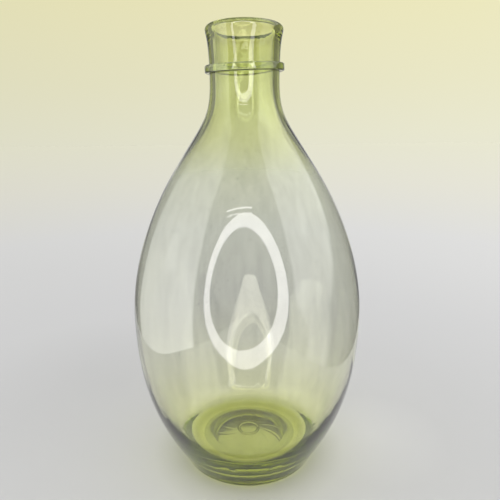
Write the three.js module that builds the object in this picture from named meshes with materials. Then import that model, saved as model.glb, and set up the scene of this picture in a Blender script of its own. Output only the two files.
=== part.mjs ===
// A free-blown glass demijohn of about five litres, in millimetres, +Z up.
// The origin is on the ground plane at the centre of the base.
// The body, neck and lip are one blown shell, open at the mouth. A trail of glass is laid
// round the neck below the lip, and a broken ring of glass is left under the pushed-up base.

import * as THREE from "three";

// Heights, stacked from the ground up
const HEEL_HEIGHT = 7.0;
const LOWER_BODY_HEIGHT = 123.6;
const UPPER_BODY_HEIGHT = 111.5;
const NECK_ROOT_HEIGHT = 71.2;
const NECK_FLARE_HEIGHT = 33.6;
const LIP_ROUNDING_HEIGHT = 3.1;

// Outside radii and widths
const STANDING_INNER_RADIUS = 32.5;
const STANDING_WIDTH = 14.5;
const HEEL_WIDTH = 12.3;
const BELLY_RADIUS = 92.6;
const SHOULDER_RADIUS = 58.2;
const NECK_RADIUS = 26.3;
const LIP_RADIUS = 28.9;

// Slopes of the outside, from the horizontal
const UNDERSIDE_SLOPE_DEGREES = -40;
const HEEL_SLOPE_DEGREES = 60;
const SHOULDER_SLOPE_DEGREES = 58;

// Wall thicknesses, measured square to the outside
const HEEL_WALL = 7.0;
const BELLY_WALL = 1.35;
const SHOULDER_WALL = 1.0;
const NECK_WALL = 5.0;
const LIP_WALL = 6.5;

// Base, pushed up into a dome in the middle, with a floor that is lowest near its edge
const KICK_UP_HEIGHT = 8.5;
const CENTRE_THICKNESS = 7.5;
const FLOOR_EDGE_THICKNESS = 12.5;
const FLOOR_EDGE_RADIUS = 42.0;

// Trail of glass round the neck, and its height above the narrowest place of the neck
const TRAIL_RISE = 4.2;
const TRAIL_HEIGHT = 5.6;
const TRAIL_THICKNESS = 3.4;
const TRAIL_CORNER_RADIUS = 1.3;
const TRAIL_WAVE = 0.3;
const TRAIL_TILT_DEGREES = 1.6;
const TRAIL_LEAN_DEGREES = 2.4;

// Broken ring of glass under the base
const SCAR_RADIUS = 8.5;
const SCAR_WIDTH = 2.8;
const SCAR_DEPTH = 1.3;
const SCAR_ROUGHNESS = 0.28;

// Gap that keeps the separately made pieces of glass apart
const SEAM_GAP = 0.3;

// Lengths of the outline's curve handles, as shares of the height of the stretch they bend
const heelToBellyShares = [0.27, 0.53];
const bellyToShoulderShares = [0.46, 0.15];
const shoulderToNeckShares = [0.69, 0.41];
const neckToLipShares = [0.86, 0.1];

// The same for the flat curves of the base, as shares of their widths
const heelCornerShares = [0.9, 0.4];
const undersideShares = [0.3, 0.3];
const floorShares = [0.5, 0.4];
const floorCornerShares = [0.5, 0.5];

// Where the wall is thinnest, where the neck's thick wall starts and where the wall meets the
// floor, as shares of the upper body, the neck root and the lower body's curve
const thinShoulderShare = 0.98;
const thickNeckShare = 0.88;
const wallFootShare = 0.2;

// How fast the thick heel thins towards the belly
const HEEL_TAPER_POWER = 3.4;

// Counts
const TURN_SEGMENTS = 56;
const BODY_STEPS = 8;
const NECK_STEPS = 7;
const FLARE_STEPS = 6;
const BASE_STEPS = 7;
const LIP_STEPS = 6;
const CORNER_STEPS = 3;
const SCAR_STEPS = 6;
const TRAIL_WAVES = 2;
const SCAR_LUMPS = [5, 11, 17];
const CURVE_HALVINGS = 40;

// Colours of the glass, from the thin body to the thick base
const BOTTLE_COLOUR = 0xc3ce9a;
const TRAIL_COLOUR = 0xaab870;
const SCAR_COLOUR = 0x93a052;
const POLISHED_ROUGHNESS = 0.05;
const BROKEN_ROUGHNESS = 0.3;

const standingOuterRadius = STANDING_INNER_RADIUS + STANDING_WIDTH;
const heelRadius = standingOuterRadius + HEEL_WIDTH;
const bellyHeight = HEEL_HEIGHT + LOWER_BODY_HEIGHT;
const shoulderHeight = bellyHeight + UPPER_BODY_HEIGHT;
const neckHeight = shoulderHeight + NECK_ROOT_HEIGHT;
const lipHeight = neckHeight + NECK_FLARE_HEIGHT;
const undersideSlope = THREE.MathUtils.degToRad(UNDERSIDE_SLOPE_DEGREES);
const heelSlope = THREE.MathUtils.degToRad(HEEL_SLOPE_DEGREES);
const shoulderSlope = Math.PI - THREE.MathUtils.degToRad(SHOULDER_SLOPE_DEGREES);
const upright = Math.PI / 2;
const level = 0;

// The wall's thickness at places up the outside, from the widest place to the neck
const wallStations = [
  [bellyHeight, BELLY_WALL],
  [bellyHeight + thinShoulderShare * UPPER_BODY_HEIGHT, SHOULDER_WALL],
  [shoulderHeight + thickNeckShare * NECK_ROOT_HEIGHT, NECK_WALL],
  [neckHeight, NECK_WALL],
];

function profilePoint(radius, height) {
  return new THREE.Vector2(radius, height);
}

function goAlong(start, slope, distance) {
  return profilePoint(start.x + distance * Math.cos(slope), start.y + distance * Math.sin(slope));
}

// A smooth stretch of outline from one point and slope to another
function stretch(start, startSlope, end, endSlope, handleShares, bentLength) {
  const afterStart = goAlong(start, startSlope, handleShares[0] * bentLength);
  const beforeEnd = goAlong(end, endSlope, -handleShares[1] * bentLength);
  return new THREE.CubicBezierCurve(start, afterStart, beforeEnd, end);
}

const standingInner = profilePoint(STANDING_INNER_RADIUS, 0);
const standingOuter = profilePoint(standingOuterRadius, 0);
const heel = profilePoint(heelRadius, HEEL_HEIGHT);
const belly = profilePoint(BELLY_RADIUS, bellyHeight);
const shoulder = profilePoint(SHOULDER_RADIUS, shoulderHeight);
const neck = profilePoint(NECK_RADIUS, neckHeight);
const lip = profilePoint(LIP_RADIUS, lipHeight);
const kickUp = profilePoint(0, KICK_UP_HEIGHT);

const underside = stretch(kickUp, level, standingInner, undersideSlope, undersideShares,
  STANDING_INNER_RADIUS);
const heelCorner = stretch(standingOuter, level, heel, heelSlope, heelCornerShares, HEEL_WIDTH);
const lowerBody = stretch(heel, heelSlope, belly, upright, heelToBellyShares, LOWER_BODY_HEIGHT);
const upperBody = stretch(belly, upright, shoulder, shoulderSlope, bellyToShoulderShares, UPPER_BODY_HEIGHT);
const neckRoot = stretch(shoulder, shoulderSlope, neck, upright, shoulderToNeckShares, NECK_ROOT_HEIGHT);
const neckFlare = stretch(neck, upright, lip, upright, neckToLipShares, NECK_FLARE_HEIGHT);

// The wall's thickness at a height of the outside: thick at the heel, thinning fast to the
// belly, thinnest at the shoulder, and thick again in the neck
function wallAt(height) {
  if (height < bellyHeight) {
    const climbed = (height - HEEL_HEIGHT) / LOWER_BODY_HEIGHT;
    return BELLY_WALL + (HEEL_WALL - BELLY_WALL) * (1 - climbed) ** HEEL_TAPER_POWER;
  }
  let wall = BELLY_WALL;
  for (let station = 1; station < wallStations.length; station++) {
    const [lowHeight, lowWall] = wallStations[station - 1];
    const [highHeight, highWall] = wallStations[station];
    if (height >= lowHeight) {
      const blend = THREE.MathUtils.smoothstep(height, lowHeight, highHeight);
      wall = THREE.MathUtils.lerp(lowWall, highWall, blend);
    }
  }
  return wall;
}

// The place inside the wall, square to the outside at a share of one of its curves
function insidePoint(curve, share) {
  const outside = curve.getPoint(share);
  const tangent = curve.getTangent(share);
  const wall = wallAt(outside.y);
  return profilePoint(outside.x - wall * tangent.y, outside.y + wall * tangent.x);
}

function insidePoints(curve, steps, firstShare) {
  const points = [];
  for (let step = 0; step <= steps; step++) {
    points.push(insidePoint(curve, THREE.MathUtils.lerp(firstShare, 1, step / steps)));
  }
  return points;
}

// Stretches of points end to start: each meeting point is kept once
function runOn(first, ...others) {
  return [...first, ...others.flatMap((points) => points.slice(1))];
}

// The outside, from the middle of the underside to the lip
function outsideOutline() {
  return runOn(
    underside.getPoints(BASE_STEPS),
    [standingInner, standingOuter],
    heelCorner.getPoints(CORNER_STEPS),
    lowerBody.getPoints(BODY_STEPS),
    upperBody.getPoints(BODY_STEPS),
    neckRoot.getPoints(NECK_STEPS),
    neckFlare.getPoints(FLARE_STEPS));
}

// The fire-polished rim, over the top from the outside to the bore
function rimOutline() {
  const halfWall = LIP_WALL / 2;
  const points = [];
  for (let step = 1; step < LIP_STEPS; step++) {
    const angle = (Math.PI * step) / LIP_STEPS;
    points.push(profilePoint(
      LIP_RADIUS - halfWall + halfWall * Math.cos(angle),
      lipHeight + LIP_ROUNDING_HEIGHT * Math.sin(angle)));
  }
  return points;
}

// The inside of the wall, from the lip down the straight bore to the foot of the wall
function wallOutline() {
  const upwards = runOn(
    insidePoints(lowerBody, BODY_STEPS, wallFootShare),
    insidePoints(upperBody, BODY_STEPS, 0),
    insidePoints(neckRoot, NECK_STEPS, 0));
  const boreTop = profilePoint(LIP_RADIUS - LIP_WALL, lipHeight);
  return [boreTop, ...upwards.reverse()];
}

// The inside of the base, from the foot of the wall to the middle of the floor
function floorOutline() {
  const wallFoot = insidePoint(lowerBody, wallFootShare);
  const wallFootSlope = lowerBody.getTangent(wallFootShare).angle();
  const floorEdge = profilePoint(FLOOR_EDGE_RADIUS, FLOOR_EDGE_THICKNESS);
  const floorMiddle = profilePoint(0, KICK_UP_HEIGHT + CENTRE_THICKNESS);
  const corner = stretch(floorEdge, level, wallFoot, wallFootSlope, floorCornerShares,
    wallFoot.x - floorEdge.x);
  const floor = stretch(floorMiddle, level, floorEdge, level, floorShares, FLOOR_EDGE_RADIUS);
  return runOn(corner.getPoints(CORNER_STEPS).reverse(), floor.getPoints(BASE_STEPS).reverse());
}

// Turn an outline, given from axis to axis or as a closed ring, round the upright axis
function turnOutline(outline) {
  const geometry = new THREE.LatheGeometry(outline, TURN_SEGMENTS);
  geometry.rotateX(upright);
  return geometry;
}

// Move each point of a turned geometry by a rule for its radius, angle and height
function unevenTurned(geometry, rule) {
  const position = geometry.getAttribute("position");
  for (let index = 0; index < position.count; index++) {
    const x = position.getX(index);
    const y = position.getY(index);
    const angle = Math.atan2(y, x);
    const [radius, height] = rule(Math.hypot(x, y), angle, position.getZ(index));
    position.setXYZ(index, radius * Math.cos(angle), radius * Math.sin(angle), height);
  }
  geometry.computeVertexNormals();
  return geometry;
}

function glassPiece(name, geometry, colour, roughness) {
  const material = new THREE.MeshStandardMaterial({ color: colour, roughness, metalness: 0 });
  const piece = new THREE.Mesh(geometry, material);
  piece.name = name;
  return piece;
}

function makeBottle() {
  const outline = [...outsideOutline(), ...rimOutline(), ...runOn(wallOutline(), floorOutline())];
  return glassPiece("bottle", turnOutline(outline), BOTTLE_COLOUR, POLISHED_ROUGHNESS);
}

// The share of a curve at which a coordinate that grows along it reaches a value
function shareWhere(curve, coordinate, value) {
  let low = 0;
  let high = 1;
  for (let halving = 0; halving < CURVE_HALVINGS; halving++) {
    const middle = (low + high) / 2;
    if (curve.getPoint(middle)[coordinate] < value) {
      low = middle;
    } else {
      high = middle;
    }
  }
  return low;
}

function neckRadiusAt(height) {
  return neckFlare.getPoint(shareWhere(neckFlare, "y", height)).x;
}

function undersideHeightAt(radius) {
  return underside.getPoint(shareWhere(underside, "x", radius)).y;
}

// A rounded corner of the trail, as a quarter turn from a starting angle
function trailCorner(centre, startAngle) {
  const points = [];
  for (let step = 0; step <= CORNER_STEPS; step++) {
    points.push(goAlong(centre, startAngle + (upright * step) / CORNER_STEPS, TRAIL_CORNER_RADIUS));
  }
  return points;
}

// The trail of glass, seated on the flare of the neck and a little uneven, as laid by hand
function makeNeckRing() {
  const middle = neckHeight + TRAIL_RISE + TRAIL_HEIGHT / 2;
  const halfHeight = TRAIL_HEIGHT / 2;
  const cornerRadius = neckRadiusAt(middle) + TRAIL_THICKNESS - TRAIL_CORNER_RADIUS;
  const cornerRise = halfHeight - TRAIL_CORNER_RADIUS;
  const seatBottom = profilePoint(neckRadiusAt(middle - halfHeight) + SEAM_GAP, -halfHeight);
  const seatTop = profilePoint(neckRadiusAt(middle + halfHeight) + SEAM_GAP, halfHeight);
  const outline = [
    seatBottom,
    ...trailCorner(profilePoint(cornerRadius, -cornerRise), -upright),
    ...trailCorner(profilePoint(cornerRadius, cornerRise), level),
    seatTop,
    seatBottom,
  ];
  const geometry = unevenTurned(turnOutline(outline), (radius, angle, height) => [
    radius,
    height + TRAIL_WAVE * Math.cos(TRAIL_WAVES * angle),
  ]);
  const ring = glassPiece("neck_ring", geometry, TRAIL_COLOUR, POLISHED_ROUGHNESS);
  ring.position.z = middle;
  ring.rotation.x = THREE.MathUtils.degToRad(TRAIL_LEAN_DEGREES);
  ring.rotation.y = -THREE.MathUtils.degToRad(TRAIL_TILT_DEGREES);
  return ring;
}

// The broken ring of glass, hanging under the pushed-up base with a lumpy lower edge
function makePontilScar() {
  const innerRadius = SCAR_RADIUS - SCAR_WIDTH / 2;
  const outerRadius = SCAR_RADIUS + SCAR_WIDTH / 2;
  const innerTop = profilePoint(innerRadius, undersideHeightAt(innerRadius) - SEAM_GAP);
  const outerTop = profilePoint(outerRadius, undersideHeightAt(outerRadius) - SEAM_GAP);
  const outline = [outerTop];
  for (let step = 0; step < SCAR_STEPS; step++) {
    const across = step / SCAR_STEPS;
    const place = innerTop.clone().lerp(outerTop, across);
    place.y -= SCAR_DEPTH * Math.sin(Math.PI * across);
    outline.push(place);
  }
  outline.push(outerTop);
  const lumpAt = (angle) => {
    const waves = SCAR_LUMPS.map((lumps, index) => Math.sin(lumps * angle + index));
    return waves.reduce((sum, wave) => sum + wave) / SCAR_LUMPS.length;
  };
  const geometry = unevenTurned(turnOutline(outline), (radius, angle, height) => {
    const hang = Math.min(1, Math.max(0, (outerTop.y - height) / SCAR_DEPTH));
    return [
      radius + SCAR_ROUGHNESS * hang * lumpAt(angle),
      height + SCAR_ROUGHNESS * hang * lumpAt(-angle),
    ];
  });
  return glassPiece("pontil_scar", geometry, SCAR_COLOUR, BROKEN_ROUGHNESS);
}

const demijohn = new THREE.Group();
demijohn.name = "demijohn";
demijohn.add(makeBottle(), makeNeckRing(), makePontilScar());

export default demijohn;
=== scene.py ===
import math

import bpy
import numpy as np
from mathutils import Matrix


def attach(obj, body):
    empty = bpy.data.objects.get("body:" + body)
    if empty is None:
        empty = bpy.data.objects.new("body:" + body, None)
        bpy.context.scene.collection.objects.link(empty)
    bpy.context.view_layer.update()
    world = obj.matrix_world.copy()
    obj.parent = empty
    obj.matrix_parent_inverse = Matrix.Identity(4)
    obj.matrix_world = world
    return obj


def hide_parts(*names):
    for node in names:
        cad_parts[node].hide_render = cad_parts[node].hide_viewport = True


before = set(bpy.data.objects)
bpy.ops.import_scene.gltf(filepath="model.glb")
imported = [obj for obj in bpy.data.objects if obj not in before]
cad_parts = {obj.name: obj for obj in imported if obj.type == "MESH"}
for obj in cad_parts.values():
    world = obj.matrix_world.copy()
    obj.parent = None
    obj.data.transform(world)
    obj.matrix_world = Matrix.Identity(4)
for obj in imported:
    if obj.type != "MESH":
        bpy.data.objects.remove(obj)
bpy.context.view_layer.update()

MM = 0.001
FULL_TURN = 2 * math.pi
UPRIGHT = math.pi / 2
LEVEL = 0.0

# Sizes of the bottle in millimetres, the same as in the part's source
HEEL_HEIGHT = 7.0
LOWER_BODY_HEIGHT = 123.6
UPPER_BODY_HEIGHT = 111.5
NECK_ROOT_HEIGHT = 71.2
NECK_FLARE_HEIGHT = 33.6
LIP_ROUNDING_HEIGHT = 3.1

STANDING_INNER_RADIUS = 32.5
STANDING_WIDTH = 14.5
HEEL_WIDTH = 12.3
BELLY_RADIUS = 92.6
SHOULDER_RADIUS = 58.2
NECK_RADIUS = 26.3
LIP_RADIUS = 28.9

HEEL_SLOPE = math.radians(60)
SHOULDER_SLOPE = math.pi - math.radians(58)
UNDERSIDE_SLOPE = math.radians(-40)

HEEL_WALL = 7.0
BELLY_WALL = 1.35
SHOULDER_WALL = 1.0
NECK_WALL = 5.0
LIP_WALL = 6.5

KICK_UP_HEIGHT = 8.5
CENTRE_THICKNESS = 7.5
FLOOR_EDGE_THICKNESS = 12.5
FLOOR_EDGE_RADIUS = 42.0

TRAIL_RISE = 4.2
TRAIL_HEIGHT = 5.6
TRAIL_THICKNESS = 3.4
TRAIL_CORNER_RADIUS = 1.3
TRAIL_WAVE = 0.3
TRAIL_TILT = math.radians(1.6)
TRAIL_LEAN = math.radians(2.4)

SCAR_RADIUS = 8.5
SCAR_WIDTH = 2.8
SCAR_DEPTH = 1.3
SCAR_ROUGHNESS = 0.28
SCAR_LUMPS = (5, 11, 17)

# How far each stretch keeps its way at its start and its end, as shares of its length
HEEL_TO_BELLY = (0.27, 0.53)
BELLY_TO_SHOULDER = (0.46, 0.15)
SHOULDER_TO_NECK = (0.69, 0.41)
NECK_TO_LIP = (0.86, 0.1)
HEEL_CORNER = (0.9, 0.4)
UNDERSIDE = (0.3, 0.3)
FLOOR = (0.5, 0.4)
FLOOR_CORNER = (0.5, 0.5)

# Where the wall is thinnest and thickest, where it leaves the floor, and how fast it thins
THIN_SHOULDER_SHARE = 0.98
THICK_NECK_SHARE = 0.88
WALL_FOOT_SHARE = 0.2
HEEL_TAPER_POWER = 3.4

# How deep the ring and the scar sink into the bottle's glass, so that they are fused to it
FUSED_DEPTH = 0.06

# How far the blown glass is uneven, where, and how many lumps it has round the axis
SINK_DEPTH = 0.18
SINK_LUMPS = (2, 3, 5)
SWAY_LENGTH = 70.0
NECK_CALM = 0.85
RIPPLE_DEPTH = 0.03
RIPPLE_LUMPS = (7, 19, 31, 43)
RIPPLE_UPRIGHTNESS = 6
FOOT_RIPPLE_DEPTH = 0.35
FOOT_RIPPLE_TOP = 34.0
FOOT_RIPPLE_RADII = (40, 50)
FOOT_RIPPLE_LUMPS = (17, 29, 41, 53)
FLANK_RIPPLE_DEPTH = 0.22
FLANK_RIPPLE_RISE = (10, 20)
FLANK_RIPPLE_END = 29
FLANK_SWAY_LENGTH = 40.0
LUMP_SHIFT = 2.4
SCAR_LUMP_SHIFT = 1

# Steps round the axis, along each stretch of outline, and to look up a place on one
TURN_STEPS = 256
UNDERSIDE_STEPS = 28
HEEL_STEPS = 10
BODY_STEPS = 56
NECK_ROOT_STEPS = 48
NECK_FLARE_STEPS = 20
RIM_STEPS = 20
FLOOR_CORNER_STEPS = 14
FLOOR_STEPS = 28
TRAIL_CORNER_STEPS = 8
TRAIL_SEAT_POINTS = 6
SCAR_STEPS = 12
SCAR_SEAT_POINTS = 5
SEARCH_STEPS = 400

standing_outer_radius = STANDING_INNER_RADIUS + STANDING_WIDTH
heel_radius = standing_outer_radius + HEEL_WIDTH
belly_height = HEEL_HEIGHT + LOWER_BODY_HEIGHT
shoulder_height = belly_height + UPPER_BODY_HEIGHT
neck_height = shoulder_height + NECK_ROOT_HEIGHT
lip_height = neck_height + NECK_FLARE_HEIGHT


# Outlines, as arrays of (radius, height)

class Stretch:
    """A smooth stretch of outline from one point and slope to another."""

    def __init__(self, start, start_slope, end, end_slope, shares, bent_length):
        start = np.array(start, float)
        end = np.array(end, float)
        way_out = np.array([math.cos(start_slope), math.sin(start_slope)])
        way_in = np.array([math.cos(end_slope), math.sin(end_slope)])
        self.points = (start, start + shares[0] * bent_length * way_out,
                       end - shares[1] * bent_length * way_in, end)

    def at(self, shares):
        a, b, c, d = self.points
        t = np.asarray(shares, float)[..., None]
        return (1 - t)**3 * a + 3 * (1 - t)**2 * t * b + 3 * (1 - t) * t**2 * c + t**3 * d

    def along(self, shares):
        a, b, c, d = self.points
        t = np.asarray(shares, float)[..., None]
        way = 3 * (1 - t)**2 * (b - a) + 6 * (1 - t) * t * (c - b) + 3 * t**2 * (d - c)
        return way / np.linalg.norm(way, axis=-1, keepdims=True)


kick_up = (0.0, KICK_UP_HEIGHT)
standing_inner = (STANDING_INNER_RADIUS, 0.0)
standing_outer = (standing_outer_radius, 0.0)
heel = (heel_radius, HEEL_HEIGHT)
belly = (BELLY_RADIUS, belly_height)
shoulder = (SHOULDER_RADIUS, shoulder_height)
neck = (NECK_RADIUS, neck_height)
lip = (LIP_RADIUS, lip_height)

underside = Stretch(kick_up, LEVEL, standing_inner, UNDERSIDE_SLOPE,
                    UNDERSIDE, STANDING_INNER_RADIUS)
heel_corner = Stretch(standing_outer, LEVEL, heel, HEEL_SLOPE, HEEL_CORNER, HEEL_WIDTH)
lower_body = Stretch(heel, HEEL_SLOPE, belly, UPRIGHT, HEEL_TO_BELLY, LOWER_BODY_HEIGHT)
upper_body = Stretch(belly, UPRIGHT, shoulder, SHOULDER_SLOPE,
                     BELLY_TO_SHOULDER, UPPER_BODY_HEIGHT)
neck_root = Stretch(shoulder, SHOULDER_SLOPE, neck, UPRIGHT, SHOULDER_TO_NECK, NECK_ROOT_HEIGHT)
neck_flare = Stretch(neck, UPRIGHT, lip, UPRIGHT, NECK_TO_LIP, NECK_FLARE_HEIGHT)


def smooth(value, low, high):
    share = np.clip((value - low) / (high - low), 0, 1)
    return share * share * (3 - 2 * share)


def wall_at(height):
    """The wall's thickness at a height of the outside."""
    height = np.asarray(height, float)
    climbed = np.clip((height - HEEL_HEIGHT) / LOWER_BODY_HEIGHT, 0, 1)
    wall = BELLY_WALL + (HEEL_WALL - BELLY_WALL) * (1 - climbed)**HEEL_TAPER_POWER
    thin_height = belly_height + THIN_SHOULDER_SHARE * UPPER_BODY_HEIGHT
    thick_height = shoulder_height + THICK_NECK_SHARE * NECK_ROOT_HEIGHT
    wall = wall + (SHOULDER_WALL - BELLY_WALL) * smooth(height, belly_height, thin_height)
    return wall + (NECK_WALL - SHOULDER_WALL) * smooth(height, thin_height, thick_height)


def inside_of(curve, shares):
    outside = curve.at(shares)
    way = curve.along(shares)
    wall = wall_at(outside[..., 1])[..., None]
    return outside + wall * np.stack([-way[..., 1], way[..., 0]], axis=-1)


def steps(count, start=0.0, end=1.0):
    return np.linspace(start, end, count + 1)


def run_on(*stretches):
    """Join stretches that meet end to start, keeping each meeting point once."""
    return np.vstack([stretches[0]] + [points[1:] for points in stretches[1:]])


def bottle_outline():
    outside = run_on(
        underside.at(steps(UNDERSIDE_STEPS)),
        np.array([standing_inner, (STANDING_INNER_RADIUS + STANDING_WIDTH / 2, 0.0), standing_outer]),
        heel_corner.at(steps(HEEL_STEPS)),
        lower_body.at(steps(BODY_STEPS)),
        upper_body.at(steps(BODY_STEPS)),
        neck_root.at(steps(NECK_ROOT_STEPS)),
        neck_flare.at(steps(NECK_FLARE_STEPS)))
    half_wall = LIP_WALL / 2
    turn = steps(RIM_STEPS, 0, math.pi)[1:-1]
    rim = np.stack([LIP_RADIUS - half_wall + half_wall * np.cos(turn),
                    lip_height + LIP_ROUNDING_HEIGHT * np.sin(turn)], axis=1)
    bore_top = np.array([(LIP_RADIUS - LIP_WALL, lip_height)])
    bore_foot = inside_of(neck_root, np.array([1.0]))
    bore = bore_top + (bore_foot - bore_top) * steps(NECK_FLARE_STEPS)[:, None]
    wall_foot = inside_of(lower_body, np.array([WALL_FOOT_SHARE]))[0]
    foot_way = lower_body.along(np.array([WALL_FOOT_SHARE]))[0]
    floor_edge = (FLOOR_EDGE_RADIUS, FLOOR_EDGE_THICKNESS)
    corner = Stretch(floor_edge, LEVEL, wall_foot, math.atan2(foot_way[1], foot_way[0]),
                     FLOOR_CORNER, wall_foot[0] - floor_edge[0])
    floor = Stretch((0.0, KICK_UP_HEIGHT + CENTRE_THICKNESS), LEVEL, floor_edge, LEVEL,
                    FLOOR, floor_edge[0])
    inside = run_on(
        bore,
        inside_of(neck_root, steps(NECK_ROOT_STEPS, 1, 0)),
        inside_of(upper_body, steps(BODY_STEPS, 1, 0)),
        inside_of(lower_body, steps(BODY_STEPS, 1, WALL_FOOT_SHARE)),
        corner.at(steps(FLOOR_CORNER_STEPS, 1, 0)),
        floor.at(steps(FLOOR_STEPS, 1, 0)))
    return np.vstack([outside, rim, inside]), len(outside)


# Meshes

def turned_mesh(name, outline, closed_ring, move):
    """Turn an outline round the upright axis. One from axis to axis gets a point at each end."""
    angles = np.arange(TURN_STEPS) * FULL_TURN / TURN_STEPS
    rings = outline if closed_ring else outline[1:-1]
    radius = np.repeat(rings[:, 0], TURN_STEPS).reshape(len(rings), TURN_STEPS)
    height = np.repeat(rings[:, 1], TURN_STEPS).reshape(len(rings), TURN_STEPS)
    angle = np.broadcast_to(angles, radius.shape)
    radius, height = move(radius, angle, height)
    points = np.stack([radius * np.cos(angle), radius * np.sin(angle), height], axis=-1).reshape(-1, 3)
    faces = []
    ring_count = len(rings)
    for ring in range(ring_count if closed_ring else ring_count - 1):
        this = ring * TURN_STEPS
        after = ((ring + 1) % ring_count) * TURN_STEPS
        for step in range(TURN_STEPS):
            beside = (step + 1) % TURN_STEPS
            faces.append((this + step, this + beside, after + beside, after + step))
    if not closed_ring:
        first, last = len(points), len(points) + 1
        points = np.vstack([points, [0, 0, outline[0, 1]], [0, 0, outline[-1, 1]]])
        end = (ring_count - 1) * TURN_STEPS
        for step in range(TURN_STEPS):
            beside = (step + 1) % TURN_STEPS
            faces.append((first, beside, step))
            faces.append((last, end + step, end + beside))
    mesh = bpy.data.meshes.new(name)
    mesh.from_pydata((points * MM).tolist(), [], faces)
    mesh.validate()
    mesh.shade_smooth()
    return mesh


def add_object(name, data):
    added = bpy.data.objects.new(name, data)
    bpy.context.scene.collection.objects.link(added)
    return added


def radius_where(curve, height):
    points = curve.at(steps(SEARCH_STEPS))
    return float(np.interp(height, points[:, 1], points[:, 0]))


def underside_height(radius):
    points = underside.at(steps(SEARCH_STEPS))
    return float(np.interp(radius, points[:, 0], points[:, 1]))


def ring_outline():
    middle = neck_height + TRAIL_RISE + TRAIL_HEIGHT / 2
    half = TRAIL_HEIGHT / 2
    corner_radius = radius_where(neck_flare, middle) + TRAIL_THICKNESS - TRAIL_CORNER_RADIUS
    corner_rise = half - TRAIL_CORNER_RADIUS
    low = (radius_where(neck_flare, middle - half) - FUSED_DEPTH, -half)
    high = (radius_where(neck_flare, middle + half) - FUSED_DEPTH, half)
    turn = steps(TRAIL_CORNER_STEPS, 0, UPRIGHT)
    lower = np.stack([corner_radius + TRAIL_CORNER_RADIUS * np.sin(turn),
                      -corner_rise - TRAIL_CORNER_RADIUS * np.cos(turn)], axis=1)
    upper = np.stack([corner_radius + TRAIL_CORNER_RADIUS * np.cos(turn),
                      corner_rise + TRAIL_CORNER_RADIUS * np.sin(turn)], axis=1)
    seat = np.linspace(high, low, TRAIL_SEAT_POINTS)[:-1]
    return np.vstack([[low], lower, upper, seat]), middle


def scar_outline():
    inner = SCAR_RADIUS - SCAR_WIDTH / 2
    outer = SCAR_RADIUS + SCAR_WIDTH / 2
    tops = np.linspace(outer, inner, SCAR_SEAT_POINTS)
    seat = [(radius, underside_height(radius) + FUSED_DEPTH) for radius in tops]
    across = steps(SCAR_STEPS)[1:-1]
    low = [(inner + (outer - inner) * share,
            underside_height(inner + (outer - inner) * share) - SCAR_DEPTH * math.sin(math.pi * share))
           for share in across]
    return np.array(seat + low), seat[0][1]


# Materials

def link_or_set(tree, socket, value):
    if isinstance(value, bpy.types.NodeSocket):
        tree.links.new(value, socket)
    else:
        socket.default_value = value


def node(tree, kind, inputs=None, **settings):
    made = tree.nodes.new("ShaderNode" + kind)
    for key, value in settings.items():
        setattr(made, key, value)
    for key, value in (inputs or {}).items():
        link_or_set(tree, made.inputs[key], value)
    return made


def maths(tree, operation, *values):
    return node(tree, "Math", dict(enumerate(values)), operation=operation).outputs[0]


def times(tree, *values):
    product = values[0]
    for value in values[1:]:
        product = maths(tree, "MULTIPLY", product, value)
    return product


def plus(tree, *values):
    total = values[0]
    for value in values[1:]:
        total = maths(tree, "ADD", total, value)
    return total


def minus(tree, value, taken):
    return maths(tree, "SUBTRACT", value, taken)


def rest_of(tree, share):
    return minus(tree, 1.0, share)


def above(tree, value, limit):
    """1 where a value is more than a limit, and 0 elsewhere."""
    return maths(tree, "GREATER_THAN", value, limit)


def below(tree, value, limit):
    return maths(tree, "LESS_THAN", value, limit)


def between(tree, value, low, high, low_result, high_result):
    """A result that changes evenly while the value goes from low to high."""
    return node(tree, "MapRange", {"Value": value, "From Min": low, "From Max": high,
                                   "To Min": low_result, "To Max": high_result}).outputs[0]


def past(tree, value, edge, soft):
    """0 before an edge and 1 after it, with a soft step."""
    return node(tree, "MapRange", {"Value": value, "From Min": edge - soft, "From Max": edge + soft},
                interpolation_type="SMOOTHSTEP").outputs[0]


def band(tree, value, low, high, soft):
    """1 where a value lies between low and high, with soft edges."""
    return minus(tree, past(tree, value, low, soft), past(tree, value, high, soft))


def length(tree, x, y):
    return maths(tree, "SQRT", plus(tree, times(tree, x, x), times(tree, y, y)))


def noise(tree, place, scale, detail):
    return node(tree, "TexNoise", {"Vector": place, "Scale": scale, "Detail": detail}).outputs["Fac"]


def grey(tree, light):
    return node(tree, "CombineColor", {"Red": light, "Green": light, "Blue": light}).outputs[0]


def brightened(tree, colour, gain):
    return node(tree, "VectorMath", {0: colour, "Scale": gain}, operation="SCALE").outputs[0]


def multiplied(tree, first, second):
    """Two colours or places, multiplied one part at a time."""
    return node(tree, "VectorMath", {0: first, 1: second}, operation="MULTIPLY").outputs[0]


def mixed(tree, factor, start, end):
    """One colour blended into another by a factor."""
    made = node(tree, "Mix", {"Factor": factor}, data_type="RGBA")
    link_or_set(tree, made.inputs["A"], start)
    link_or_set(tree, made.inputs["B"], end)
    return made.outputs["Result"]


def ramp(tree, factor, stops):
    made = node(tree, "ValToRGB", {"Fac": factor})
    elements = made.color_ramp.elements
    while len(elements) > 1:
        elements.remove(elements[-1])
    elements[0].position = stops[0][0]
    elements[0].color = (*stops[0][1], 1)
    for place, colour in stops[1:]:
        elements.new(place).color = (*colour, 1)
    return made.outputs["Color"]


def new_material(name):
    material = bpy.data.materials.new(name)
    material.use_nodes = True
    material.node_tree.nodes.clear()
    return material


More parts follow.
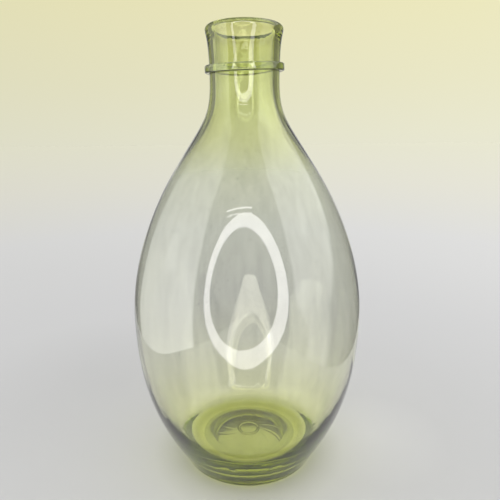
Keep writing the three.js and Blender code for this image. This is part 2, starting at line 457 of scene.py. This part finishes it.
# Colours that the glass and the film on it let through, by height in millimetres; the film darkens and
# tints only what is seen through the glass
FILM = [
    (0, (0.98, 0.98, 0.92)),
    (18, (0.975, 0.975, 0.90)),
    (40, (0.945, 0.945, 0.87)),
    (65, (0.955, 0.955, 0.93)),
    (110, (0.885, 0.888, 0.905)),
    (200, (0.898, 0.908, 0.912)),
    (245, (0.90, 0.92, 0.925)),
    (285, (0.925, 0.955, 0.95)),
    (312, (0.915, 0.945, 0.92)),
    (326, (0.855, 0.885, 0.80)),
    (350, (0.86, 0.885, 0.80)),
]
FILM_TOP = 350.0
ABSORBED = (0.80, 0.835, 0.065, 1)
ABSORPTION = 75.0
GLASS_IOR = 1.52
CLEAR_FILM = (0.99, 0.99, 0.99, 1)

# Marks in the film: the noise's scale and detail, its range, and the light let through over it
FILM_SMEARS = (24.0, 3.0, (0.3, 0.7), (0.985, 1.0))
FILM_STREAKS = (150.0, 4.0, (0.35, 0.6), (0.955, 1.0))
FILM_SPECKS = (420.0, 1.0, (0.74, 0.78), (1.0, 0.72))
STREAK_SQUEEZE = 0.06

# Painted shade on the underside of the base, darker on its far flank, and on the heel's side. Ranges of
# the view's slant here and below go from 0, straight on, to 1, along the surface
EVEN_BLEND = 0.5
UNDERSIDE_TOP = 9.5
CONTACT_RADIUS = 42.5
CAVITY_SHADE_COLOUR = (0.50, 0.53, 0.33)
CAVITY_SHADE_SLANT = (0.150, 0.185)
CAVITY_FAR_SHADE_LIGHT = 0.10
HEEL_SHADE_COLOUR = (0.86, 0.87, 0.84, 1)

# Painted shade low on the outside
FOOT_SHADE_TOP = 70.0
FOOT_SHADE_LIGHT = 0.32
FOOT_SHADE_SLANT = (0.4, 0.8)

# Painted shade on the neck's thick glass, deeper at a slant and deepest at its edges, and painted light
# that leaves it clearer to the right
NECK_SLANT_START = 282.0
NECK_SLANT_FULL = 318.0
NECK_SLANT = (0.05, 0.35)
NECK_SLANT_SHADE = (0.685, 0.69, 0.455)
NECK_LIT_SIDE = 0.25
NECK_LIT_REACH = 20.0
NECK_EDGE = (0.55, 0.85)
NECK_EDGE_SHADE = (0.31, 0.34, 0.23)

# The dark line inside the lip
RIM_LINE_HEIGHT = 344.3
RIM_LINE_NOISE = (120.0, 3.0)
RIM_LINE_UNEVENNESS = 5.0
RIM_LINE_REACH = 8.0
RIM_LINE_NEAR_SHARE = 0.15
RIM_LINE_COLOUR = (0.02, 0.03, 0.01, 1)

# Painted shade along the neck ring's lower edge, where it meets the neck
EDGE_SHADE = "edge_shade"
EDGE_SHADE_RINGS = 6
EDGE_SHADE_LIGHT = 0.03

# Numbers of bounces are whole, so this limit parts none from one or more
FIRST_BOUNCE = 0.5


def film_mark(tree, place, mark):
    """The light that the film lets through where noise marks it."""
    scale, detail, values, lights = mark
    return between(tree, noise(tree, place, scale, detail), *values, *lights)


def film_colour(tree, place):
    """The film's colour at a place, with faint smears, upright streaks and specks."""
    height = node(tree, "SeparateXYZ", {"Vector": place}).outputs["Z"]
    colour = ramp(tree, between(tree, height, 0.0, FILM_TOP * MM, 0.0, 1.0),
                  [(level / FILM_TOP, colour) for level, colour in FILM])
    drawn_out = multiplied(tree, place, (1.0, 1.0, STREAK_SQUEEZE))
    clean = times(tree, film_mark(tree, place, FILM_SMEARS),
                  film_mark(tree, drawn_out, FILM_STREAKS),
                  film_mark(tree, place, FILM_SPECKS))
    return brightened(tree, colour, clean)


def slant_of_view(tree):
    """0 where the glass is seen straight on, 1 where it is seen along its surface."""
    return node(tree, "LayerWeight", {"Blend": EVEN_BLEND}).outputs["Facing"]


def neck_painted_shade_and_light(tree, colour, x, height):
    """Painted shade on the neck's thick glass, deeper in colour seen at a slant and at its edges, and
    painted light that leaves it clearer to the right.
    """
    in_neck = between(tree, height, NECK_SLANT_START * MM, NECK_SLANT_FULL * MM, 0.0, 1.0)
    reach = NECK_LIT_REACH * MM
    slant_shade_mask = times(tree, between(tree, slant_of_view(tree), *NECK_SLANT, 0.0, 1.0), in_neck,
                    between(tree, x, -reach, reach, 1.0, NECK_LIT_SIDE))
    along = times(tree, between(tree, slant_of_view(tree), *NECK_EDGE, 0.0, 1.0), in_neck)
    slant_shaded = multiplied(tree, colour, NECK_SLANT_SHADE)
    edge_shaded = multiplied(tree, colour, NECK_EDGE_SHADE)
    return mixed(tree, along, mixed(tree, slant_shade_mask, colour, slant_shaded), edge_shaded)


def painted_foot_shade(tree, height):
    """Painted shade low on the outside, which takes the more light the more it is seen along the glass.
    """
    grazing_shade = between(tree, slant_of_view(tree), *FOOT_SHADE_SLANT, 0.0, 1.0 - FOOT_SHADE_LIGHT)
    low = between(tree, height, HEEL_HEIGHT * MM, FOOT_SHADE_TOP * MM, 1.0, 0.0)
    return rest_of(tree, times(tree, grazing_shade, low))


def cavity_painted_shade(tree):
    """Painted shade on the underside of the base, darker on its far flank."""
    far_light = between(tree, slant_of_view(tree), *CAVITY_SHADE_SLANT, 1.0, CAVITY_FAR_SHADE_LIGHT)
    return brightened(tree, CAVITY_SHADE_COLOUR, far_light)


def rim_line(tree, place, radius, y, height):
    """Where an uneven dark line runs round inside the lip, faint at the front."""
    uneven = times(tree, noise(tree, place, *RIM_LINE_NOISE), RIM_LINE_UNEVENNESS * MM)
    high = above(tree, minus(tree, height, uneven), RIM_LINE_HEIGHT * MM)
    inside = below(tree, radius, (LIP_RADIUS - LIP_WALL / 2) * MM)
    reach = RIM_LINE_REACH * MM
    return times(tree, high, inside, between(tree, y, -reach, reach, RIM_LINE_NEAR_SHARE, 1.0))


def bottle_colour(tree, place):
    """The film's colour, with painted shade on the underside, the heel, the foot and the neck, painted
    light on the neck's right, and the rim's dark line.
    """
    x, y, height = node(tree, "SeparateXYZ", {"Vector": place}).outputs
    radius = length(tree, x, y)
    low = below(tree, height, UNDERSIDE_TOP * MM)
    # painted shade on the underside inside the standing ring and on the heel's outer side
    cavity_shade_mask = times(tree, low, below(tree, radius, CONTACT_RADIUS * MM))
    heel_shade_mask = times(tree, low, above(tree, radius, standing_outer_radius * MM))
    colour = mixed(tree, cavity_shade_mask, film_colour(tree, place), cavity_painted_shade(tree))
    colour = mixed(tree, heel_shade_mask, colour, HEEL_SHADE_COLOUR)
    colour = brightened(tree, colour, painted_foot_shade(tree, height))
    colour = neck_painted_shade_and_light(tree, colour, x, height)
    return mixed(tree, rim_line(tree, place, radius, y, height), colour, RIM_LINE_COLOUR)


def ring_colour(tree, place):
    """The film's colour, with painted shade where the ring's lower edge meets the neck."""
    # painted shade along the ring's lower edge
    edge_shade = node(tree, "Attribute", attribute_name=EDGE_SHADE).outputs["Fac"]
    return brightened(tree, film_colour(tree, place), between(tree, edge_shade, 0.0, 1.0, 1.0, EDGE_SHADE_LIGHT))


def glass_material(name, colour_of):
    """Clear glass with a film on it, which the light that only lights the floor passes freely."""
    material = new_material(name)
    tree = material.node_tree
    place = node(tree, "TexCoord").outputs["Object"]
    lighting = above(tree, node(tree, "LightPath").outputs["Diffuse Depth"], FIRST_BOUNCE)
    glass = node(tree, "BsdfPrincipled", {
        "Base Color": mixed(tree, lighting, colour_of(tree, place), CLEAR_FILM),
        "Roughness": 0.0, "IOR": GLASS_IOR, "Transmission Weight": 1.0})
    body = node(tree, "VolumeAbsorption", {"Color": ABSORBED, "Density": ABSORPTION})
    node(tree, "OutputMaterial", {"Surface": glass.outputs[0], "Volume": body.outputs[0]})
    return material


# Pieces

body_outline, outside_count = bottle_outline()


def lumps(turn, counts, shift=LUMP_SHIFT):
    """An uneven wave round the axis, between -1 and 1."""
    waves = [np.sin(count * turn + shift * index) for index, count in enumerate(counts)]
    return sum(waves) / len(waves)


def blown_unevenness(radius, angle, height):
    """Let the outside sink a little in places, and ripple the inside and the underside."""
    ring_place = np.arange(len(radius))[:, None]
    inside = ring_place >= outside_count + RIM_STEPS
    sway = height / SWAY_LENGTH
    sunk = SINK_DEPTH * (1 + lumps(angle + sway, SINK_LUMPS)) / 2
    ripple = RIPPLE_DEPTH * lumps(angle + sway / RIPPLE_UPRIGHTNESS, RIPPLE_LUMPS)
    near_floor = (smooth(height, FOOT_RIPPLE_TOP, FLOOR_EDGE_THICKNESS)
                  * smooth(radius, *FOOT_RIPPLE_RADII))
    foot_ripple = FOOT_RIPPLE_DEPTH * near_floor * lumps(angle, FOOT_RIPPLE_LUMPS)
    on_wall = smooth(height, HEEL_HEIGHT, 2 * HEEL_HEIGHT)
    calm = 1 - NECK_CALM * smooth(height, shoulder_height, neck_height)
    moved = np.where(inside, radius + ripple + foot_ripple, radius - on_wall * calm * sunk)
    flank = (smooth(radius, *FLANK_RIPPLE_RISE)
             * smooth(radius, STANDING_INNER_RADIUS, FLANK_RIPPLE_END)
             * (ring_place < UNDERSIDE_STEPS))
    flank_lumps = lumps(angle + radius / FLANK_SWAY_LENGTH, FOOT_RIPPLE_LUMPS)
    return moved, height + FLANK_RIPPLE_DEPTH * flank * flank_lumps


bottle = add_object("blown_bottle",
                    turned_mesh("blown_bottle", body_outline, False, blown_unevenness))
bottle.data.materials.append(glass_material("bottle_glass", bottle_colour))


def mark_edge_shade(mesh):
    """Mark the rings of points round the lower edge, where the ring meets the neck, for painted shade."""
    marks = mesh.attributes.new(EDGE_SHADE, "FLOAT", "POINT").data
    for step in range(EDGE_SHADE_RINGS * TURN_STEPS):
        marks[step].value = 1.0


def trail_wave(radius, angle, height):
    return radius, height + TRAIL_WAVE * np.cos(2 * angle)


trail_outline, ring_height = ring_outline()
ring = add_object("laid_ring", turned_mesh("laid_ring", trail_outline, True, trail_wave))
mark_edge_shade(ring.data)
ring.data.transform(Matrix.Translation((0, 0, ring_height * MM))
                    @ Matrix.Rotation(-TRAIL_TILT, 4, "Y")
                    @ Matrix.Rotation(TRAIL_LEAN, 4, "X"))
ring.data.materials.append(glass_material("ring_glass", ring_colour))

broken_outline, scar_top = scar_outline()


def broken_edge(radius, angle, height):
    """Move the scar's points the more unevenly the lower they hang."""
    hang = np.clip((scar_top - height) / SCAR_DEPTH, 0, 1)
    return (radius + SCAR_ROUGHNESS * hang * lumps(angle, SCAR_LUMPS, SCAR_LUMP_SHIFT),
            height + SCAR_ROUGHNESS * hang * lumps(-angle, SCAR_LUMPS, SCAR_LUMP_SHIFT))


scar = add_object("broken_scar", turned_mesh("broken_scar", broken_outline, True, broken_edge))
scar.data.materials.append(glass_material("scar_glass", film_colour))

for piece, cad_node, slot in ((bottle, "bottle", "bottle_glass"),
                              (ring, "neck_ring", "ring_glass"),
                              (scar, "pontil_scar", "scar_glass")):
    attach(piece, "root")
    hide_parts(cad_node)


# Studio

# Pale colours of the surroundings by the tangent of the angle below the horizon
PALE = [
    (-0.60, (0.22, 0.22, 0.20)),
    (-0.42, (0.55, 0.52, 0.31)),
    (-0.26, (0.81, 0.775, 0.485)),
    (-0.10, (0.785, 0.765, 0.545)),
    (0.0, (0.775, 0.765, 0.60)),
    (0.10, (0.748, 0.737, 0.645)),
    (0.20, (0.70, 0.70, 0.69)),
    (0.34, (0.648, 0.648, 0.648)),
    (0.45, (0.619, 0.619, 0.619)),
    (0.60, (0.629, 0.629, 0.629)),
    (0.75, (0.667, 0.667, 0.667)),
]
PALE_LOW, PALE_HIGH = -0.6, 0.8
EYE_HEIGHT = 0.2723
EYE_DISTANCE = 0.366
LEAST_FLAT = 0.001

# How much lighter the surroundings are to the right, at the far edge and low in front
SLANT_DROPS = (0.25, 0.60)
SIDE_SLANTS = (0.11, -0.05)

# Soft patches of more or less light on the floor: place, reach and gain
LIGHT_PATCHES = [
    (-0.15, 0.11, 0.20, 0.92),
    (0.115, 0.01, 0.07, 1.10),
    (0.0, -0.115, 0.05, 0.96),
]

# The room in mirrored rays. Turns are degrees round the bottle from the front, positive to the
# right, climbs are degrees above the horizon, and each soft edge reaches so far to both sides
ROOM_LIGHT = 0.24
FRONT_LIGHT = 0.08
FRONT_SOFT = 2.0
FAR_EDGE_LIGHT = 0.4
FAR_EDGE_TURN, FAR_EDGE_SOFT = 155.0, 8.0
FAR_EDGE_CLIMBS = (-24.0, -12.0)
BEHIND_TURN, BEHIND_SOFT = 172.0, 2.0
PANEL_FOOT, PANEL_TOP, PANEL_TOP_SOFT = -80.0, 62.0, 4.0

LEFT_PANEL_END, LEFT_PANEL_EDGE, LEFT_PANEL_SOFT = -129.0, -52.0, 1.5
LEFT_PANEL_CLIMBS = (-5.0, 45.0)
LEFT_PANEL_LIGHTS = (2.5, 0.85)
LEFT_FALL_OFF_TURNS = (-70.0, -125.0)
LEFT_FALL_OFF = 0.3

RIGHT_PANEL_EDGE, RIGHT_PANEL_SOFT = 47.0, 2.0
RIGHT_EDGE_CLIMBS = (0.0, -15.0)
RIGHT_EDGE_SHIFT = 12.0
RIGHT_PANEL_END, RIGHT_END_SOFT = 95.0, 4.0
RIGHT_END_LEAN = 1.2
RIGHT_END_LOWEST = -8.0
RIGHT_PANEL_CLIMBS = (-16.0, 10.0)
RIGHT_PANEL_LIGHTS = (0.75, 1.4)

# Soft streaks in the panels: turn at the horizon, lean, lowest and highest climb, light
PANEL_STREAKS = [
    (-87.0, 0.0, 9.0, 17.0, 3.4),
    (44.0, 1.2, 27.0, 31.0, 4.4),
]
STREAK_HALF_WIDTH = 2.0
STREAK_SOFT = 9.0

# The room's light on the floor
ALL_ROUND_LIGHT = 0.563
OVERHEAD_LIGHT = 0.678
OVERHEAD_CLIMB, OVERHEAD_SOFT = 48.0, 6.0
PANEL_SHARE = 0.3595
RIGHT_LIGHT_END = 150.0

# The contact shadow, and how much more light the bottle gathers on the floor close behind it
CONTACT_SHADE = 0.85
CONTACT_INNER, CONTACT_OUTER = 0.055, 0.085
FOCUSED_LIGHT = 0.20
FOCUS_INNER, FOCUS_OUTER = 0.08, 0.30
BRIGHT_FOOT_LIGHT = 0.22
BRIGHT_FOOT_INNER, BRIGHT_FOOT_OUTER = 0.070, 0.105

FLOOR_REACH = 14.0
FLOOR_LEVEL = -0.0001
MIRRORED_FLOOR_LEFT, MIRRORED_FLOOR_RIGHT = -0.30, 0.24
MIRRORED_FLOOR_SOFT = 0.004

LAMP_CENTRE = (-0.038, -0.30, 0.2205)
LAMP_OUTER, LAMP_INNER = 0.222, 0.168
LAMP_SQUEEZE = 0.993
LAMP_STEPS = 96
LAMP_YAW = math.radians(-9.7)
LAMP_STRENGTH = 4.9
LAMP_COLOUR = (1.0, 0.97, 1.02, 1)
# Each bar's name, left end, right end and thickness
LAMP_BARS = [
    ("upper_lamp_bar", (-0.138, 0.461), (0.042, 0.463), 0.008),
    ("lower_lamp_bar", (-0.132, 0.438), (0.042, 0.440), 0.005),
]


def pale(tree, drop, side):
    """The pale paper's colour, a little lighter to the right far off and to the left close by."""
    share = between(tree, drop, PALE_LOW, PALE_HIGH, 0.0, 1.0)
    reach = PALE_HIGH - PALE_LOW
    colour = ramp(tree, share, [((place - PALE_LOW) / reach, colour) for place, colour in PALE])
    slant = between(tree, drop, *SLANT_DROPS, *SIDE_SLANTS)
    return brightened(tree, colour, plus(tree, times(tree, side, slant), 1.0))


def mirrored_ray(tree):
    """1 for a ray that a mirroring surface has sent on, before it reaches anything dull."""
    path = node(tree, "LightPath").outputs
    return times(tree, above(tree, path["Glossy Depth"], FIRST_BOUNCE),
                 below(tree, path["Diffuse Depth"], FIRST_BOUNCE))


def left_panel(tree, turn, climb):
    """The left panel, brighter low down and dimmer towards its far end."""
    return times(tree, band(tree, turn, LEFT_PANEL_END, LEFT_PANEL_EDGE, LEFT_PANEL_SOFT),
                 between(tree, climb, *LEFT_PANEL_CLIMBS, *LEFT_PANEL_LIGHTS),
                 between(tree, turn, *LEFT_FALL_OFF_TURNS, 1.0, LEFT_FALL_OFF))


def right_panel(tree, turn, climb):
    """The right panel, with a leaning far end and a slanted foot."""
    shifted = between(tree, climb, *RIGHT_EDGE_CLIMBS, 0.0, RIGHT_EDGE_SHIFT)
    start = plus(tree, shifted, RIGHT_PANEL_EDGE)
    lean = times(tree, maths(tree, "MAXIMUM", climb, RIGHT_END_LOWEST), RIGHT_END_LEAN)
    end = plus(tree, lean, RIGHT_PANEL_END)
    return times(tree, past(tree, minus(tree, turn, start), 0.0, RIGHT_PANEL_SOFT),
                 rest_of(tree, past(tree, minus(tree, turn, end), 0.0, RIGHT_END_SOFT)),
                 between(tree, climb, *RIGHT_PANEL_CLIMBS, *RIGHT_PANEL_LIGHTS))


def panel_streaks(tree, turn, climb):
    lights = []
    for middle, lean, low, high, gain in PANEL_STREAKS:
        off_middle = minus(tree, turn, plus(tree, times(tree, climb, lean), middle))
        across = band(tree, off_middle, -STREAK_HALF_WIDTH, STREAK_HALF_WIDTH, STREAK_SOFT)
        lights.append(times(tree, across, band(tree, climb, low, high, STREAK_SOFT), gain))
    return plus(tree, *lights)


def room_light(tree, turn, climb):
    """A dim room, darkest in front and lighter at the far edges, with the two panels."""
    front = band(tree, turn, LEFT_PANEL_EDGE, RIGHT_PANEL_EDGE, FRONT_SOFT)
    dim = minus(tree, ROOM_LIGHT, times(tree, front, ROOM_LIGHT - FRONT_LIGHT))
    far_edges = times(tree, rest_of(tree, band(tree, turn, -FAR_EDGE_TURN, FAR_EDGE_TURN, FAR_EDGE_SOFT)),
                      between(tree, climb, *FAR_EDGE_CLIMBS, 0.0, FAR_EDGE_LIGHT))
    panels = plus(tree, left_panel(tree, turn, climb), right_panel(tree, turn, climb),
                  panel_streaks(tree, turn, climb))
    in_panels = band(tree, climb, PANEL_FOOT, PANEL_TOP, PANEL_TOP_SOFT)
    return grey(tree, plus(tree, dim, far_edges, times(tree, panels, in_panels)))


def lighting_level(tree, turn, climb):
    """The light that the room gives the floor: all round, more from above and from the panels."""
    overhead = past(tree, climb, OVERHEAD_CLIMB, OVERHEAD_SOFT)
    sides = plus(tree, band(tree, turn, LEFT_PANEL_END, LEFT_PANEL_EDGE, LEFT_PANEL_SOFT),
                 band(tree, turn, RIGHT_PANEL_EDGE, RIGHT_LIGHT_END, RIGHT_PANEL_SOFT))
    in_panels = band(tree, climb, PANEL_FOOT, PANEL_TOP, PANEL_TOP_SOFT)
    return plus(tree, times(tree, overhead, OVERHEAD_LIGHT), ALL_ROUND_LIGHT,
                times(tree, sides, in_panels, PANEL_SHARE))


def seen_directly(tree):
    """1 for a ray from the camera that has met nothing, or only clear glass."""
    path = node(tree, "LightPath").outputs
    bounces = plus(tree, path["Diffuse Depth"], path["Glossy Depth"])
    through = times(tree, path["Is Transmission Ray"], rest_of(tree, above(tree, bounces, FIRST_BOUNCE)))
    return maths(tree, "MAXIMUM", path["Is Camera Ray"], through)


def make_world():
    """Pale paper to the eye, a dim room with two panels in mirrored rays, even light on the floor."""
    world = bpy.data.worlds.new("studio")
    bpy.context.scene.world = world
    world.use_nodes = True
    tree = world.node_tree
    tree.nodes.clear()
    x, y, z = node(tree, "SeparateXYZ", {"Vector": node(tree, "TexCoord").outputs["Generated"]}).outputs
    flat = length(tree, x, y)
    climb = maths(tree, "DEGREES", maths(tree, "ARCTAN2", z, flat))
    turn = maths(tree, "DEGREES", maths(tree, "ARCTAN2", x, times(tree, y, -1.0)))
    drop = times(tree, maths(tree, "DIVIDE", z, maths(tree, "MAXIMUM", flat, LEAST_FLAT)), -1.0)
    surround = pale(tree, drop, x)
    behind = rest_of(tree, band(tree, turn, -BEHIND_TURN, BEHIND_TURN, BEHIND_SOFT))
    room = mixed(tree, behind, room_light(tree, turn, climb), surround)
    lighting = grey(tree, lighting_level(tree, turn, climb))
    unseen = mixed(tree, mirrored_ray(tree), lighting, room)
    shown = mixed(tree, seen_directly(tree), unseen, surround)
    background = node(tree, "Background", {"Color": shown, "Strength": 1.0})
    node(tree, "OutputWorld", {"Surface": background.outputs[0]})


def plate(name, corners):
    """A flat four-cornered sheet."""
    mesh = bpy.data.meshes.new(name)
    mesh.from_pydata(corners, [], [(0, 1, 2, 3)])
    return add_object(name, mesh)


def light_near_bottle(tree, away):
    """The contact shadow and, only seen through the glass, the light that the bottle gathers."""
    path = node(tree, "LightPath").outputs
    through_glass = times(tree, above(tree, path["Transmission Depth"], FIRST_BOUNCE),
                          below(tree, path["Diffuse Depth"], FIRST_BOUNCE))
    gathered = plus(tree, between(tree, away, FOCUS_INNER, FOCUS_OUTER, 1.0 + FOCUSED_LIGHT, 1.0),
                    between(tree, away, BRIGHT_FOOT_INNER, BRIGHT_FOOT_OUTER, BRIGHT_FOOT_LIGHT, 0.0))
    shaded = between(tree, away, CONTACT_INNER, CONTACT_OUTER, CONTACT_SHADE, 1.0)
    return plus(tree, shaded, times(tree, through_glass, minus(tree, gathered, shaded)))


def light_patches(tree, x, y):
    light = 1.0
    for patch_x, patch_y, reach, gain in LIGHT_PATCHES:
        off_middle = length(tree, minus(tree, x, patch_x), minus(tree, y, patch_y))
        light = times(tree, between(tree, off_middle, 0.0, reach, gain, 1.0), light)
    return light


def floor_material():
    """Pale paper that fades into the surroundings and, in mirrored rays, ends beside the bottle."""
    material = new_material("pale_floor")
    tree = material.node_tree
    x, y, _ = node(tree, "SeparateXYZ", {"Vector": node(tree, "TexCoord").outputs["Object"]}).outputs
    away = length(tree, x, y)
    from_eye = plus(tree, away, EYE_DISTANCE)
    colour = pale(tree, maths(tree, "DIVIDE", EYE_HEIGHT, from_eye), maths(tree, "DIVIDE", x, from_eye))
    light = times(tree, light_near_bottle(tree, away), light_patches(tree, x, y))
    paper = node(tree, "BsdfDiffuse", {"Color": brightened(tree, colour, light)})
    clear = node(tree, "BsdfTransparent")
    beyond = rest_of(tree, band(tree, x, MIRRORED_FLOOR_LEFT, MIRRORED_FLOOR_RIGHT, MIRRORED_FLOOR_SOFT))
    shown = node(tree, "MixShader", {0: times(tree, beyond, mirrored_ray(tree)),
                                     1: paper.outputs[0], 2: clear.outputs[0]})
    node(tree, "OutputMaterial", {"Surface": shown.outputs[0]})
    return material


def make_floor():
    corners = [(-1, -1), (1, -1), (1, 1), (-1, 1)]
    floor = plate("floor", [(x * FLOOR_REACH, y * FLOOR_REACH, FLOOR_LEVEL) for x, y in corners])
    floor.data.materials.append(floor_material())


def glow_material():
    """The lamp's glow, which only mirrored rays see."""
    material = new_material("lamp_glow")
    tree = material.node_tree
    glow = node(tree, "Emission", {"Color": LAMP_COLOUR, "Strength": LAMP_STRENGTH})
    clear = node(tree, "BsdfTransparent")
    shown = node(tree, "MixShader", {0: mirrored_ray(tree), 1: clear.outputs[0], 2: glow.outputs[0]})
    node(tree, "OutputMaterial", {"Surface": shown.outputs[0]})
    return material


def ring_lamp():
    """A flat ring, a little lower than wide, turned to face the bottle."""
    points, faces = [], []
    for step in range(LAMP_STEPS):
        angle = FULL_TURN * step / LAMP_STEPS
        after = (step + 1) % LAMP_STEPS
        for radius in (LAMP_INNER, LAMP_OUTER):
            points.append((radius * math.cos(angle), 0, LAMP_SQUEEZE * radius * math.sin(angle)))
        faces.append((2 * step, 2 * step + 1, 2 * after + 1, 2 * after))
    mesh = bpy.data.meshes.new("ring_lamp")
    mesh.from_pydata(points, [], faces)
    lamp = add_object("ring_lamp", mesh)
    lamp.matrix_world = Matrix.Translation(LAMP_CENTRE) @ Matrix.Rotation(-LAMP_YAW, 4, "Z")
    return lamp


def lamp_bar(name, left, right, thickness):
    depth = LAMP_CENTRE[1]
    return plate(name, [(left[0], depth, left[1]), (right[0], depth, right[1]),
                        (right[0], depth, right[1] + thickness), (left[0], depth, left[1] + thickness)])


def make_lamps():
    """A soft ring lamp before the bottle with two short bars on top, seen only in reflections."""
    glow = glow_material()
    for lamp in [ring_lamp()] + [lamp_bar(*bar) for bar in LAMP_BARS]:
        lamp.data.materials.append(glow)
        lamp.visible_shadow = False


CAMERA_PITCH = math.radians(14.0)
CAMERA_YAW = math.radians(0.436)
CAMERA_ROLL = math.radians(0.55)
SENSOR_WIDTH = 36.0
FOCAL_PIXELS = 460
FRAME_PIXELS = 500
NEAREST_SEEN = 0.01


def make_camera():
    camera = bpy.data.cameras.new("camera")
    camera.sensor_width = SENSOR_WIDTH
    camera.lens = SENSOR_WIDTH * FOCAL_PIXELS / FRAME_PIXELS
    camera.clip_start = NEAREST_SEEN
    view = add_object("camera", camera)
    view.matrix_world = (
        Matrix.Translation((0, -EYE_DISTANCE, EYE_HEIGHT))
        @ Matrix.Rotation(-CAMERA_YAW, 4, "Z")
        @ Matrix.Rotation(UPRIGHT - CAMERA_PITCH, 4, "X")
        @ Matrix.Rotation(-CAMERA_ROLL, 4, "Z"))
    bpy.context.scene.camera = view


make_world()
make_floor()
make_lamps()
make_camera()

MOST_BOUNCES = 24
MOST_REFLECTIONS = 12

scene = bpy.context.scene
scene.view_settings.view_transform = "Standard"
scene.cycles.max_bounces = MOST_BOUNCES
scene.cycles.transmission_bounces = MOST_BOUNCES
scene.cycles.glossy_bounces = MOST_REFLECTIONS
scene.cycles.blur_glossy = 0.0
